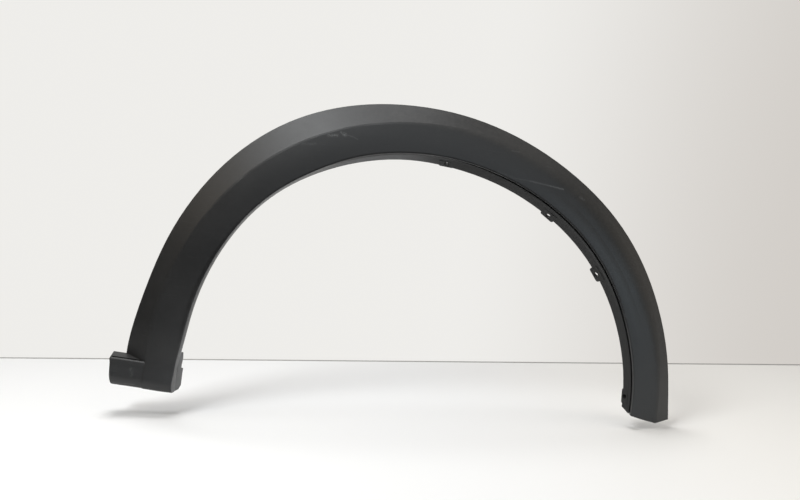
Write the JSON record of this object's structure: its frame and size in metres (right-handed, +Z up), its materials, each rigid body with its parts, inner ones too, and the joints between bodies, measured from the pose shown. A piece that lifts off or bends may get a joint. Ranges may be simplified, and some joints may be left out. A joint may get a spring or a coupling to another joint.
{
  "type": "wheel arch trim",
  "caption": "Moulded plastic wheel arch trim: a hollow curved band with a fading crease, a return flange behind a shadow slot with screw tabs round the wheel opening, and a sill foot at one end.",
  "frame": {"origin": "centre of the crown seat pad's rear face, where the trim lies on the car body", "axes": "+X along the car from the sill foot toward the free end, +Y inboard (rear side of the trim), +Z up; the wheel axis runs along Y, straight below the origin"},
  "size_m": [0.9316, 0.0402, 0.5204],
  "materials": {
    "grained_plastic": "fine-grained charcoal, slightly weathered"
  },
  "bodies": {
    "root": {"arch_trim": "grained_plastic"}
  },
  "joints": []
}
